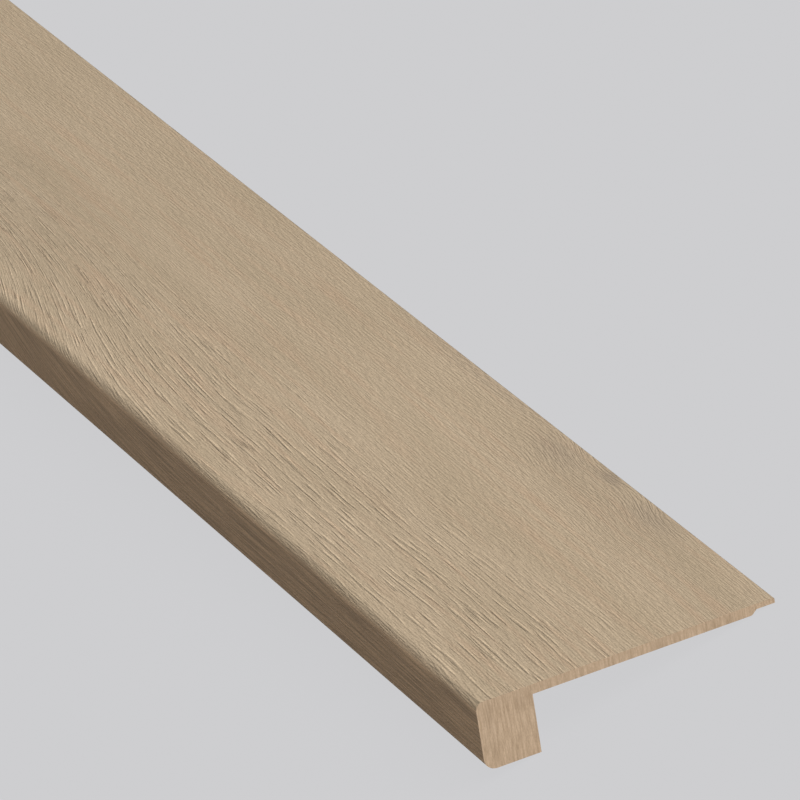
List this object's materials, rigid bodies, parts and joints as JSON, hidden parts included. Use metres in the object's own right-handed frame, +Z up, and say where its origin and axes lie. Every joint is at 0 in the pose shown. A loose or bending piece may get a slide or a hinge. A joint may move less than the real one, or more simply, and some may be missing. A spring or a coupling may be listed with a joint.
{
  "type": "flush stair nosing",
  "caption": "Length of moulded oak stair nosing: a rounded nose block with a thin flange behind it that lies level with the floor and laps it with a rebated lip.",
  "frame": {"origin": "on the floor, in the middle of the length and of the depth that the leaning piece covers", "axes": "+X along the grain, +Y from the front of the nose towards the lip, +Z up; the piece leans back 14.51 degrees about X, as it comes to rest on its heel and the lip's lower edge"},
  "size_m": [1.981, 0.1128, 0.0291],
  "materials": {
    "oak": "wire-brushed, matt lacquer, pale greige stain"
  },
  "bodies": {
    "root": {"stair_nosing": "oak"}
  },
  "joints": []
}
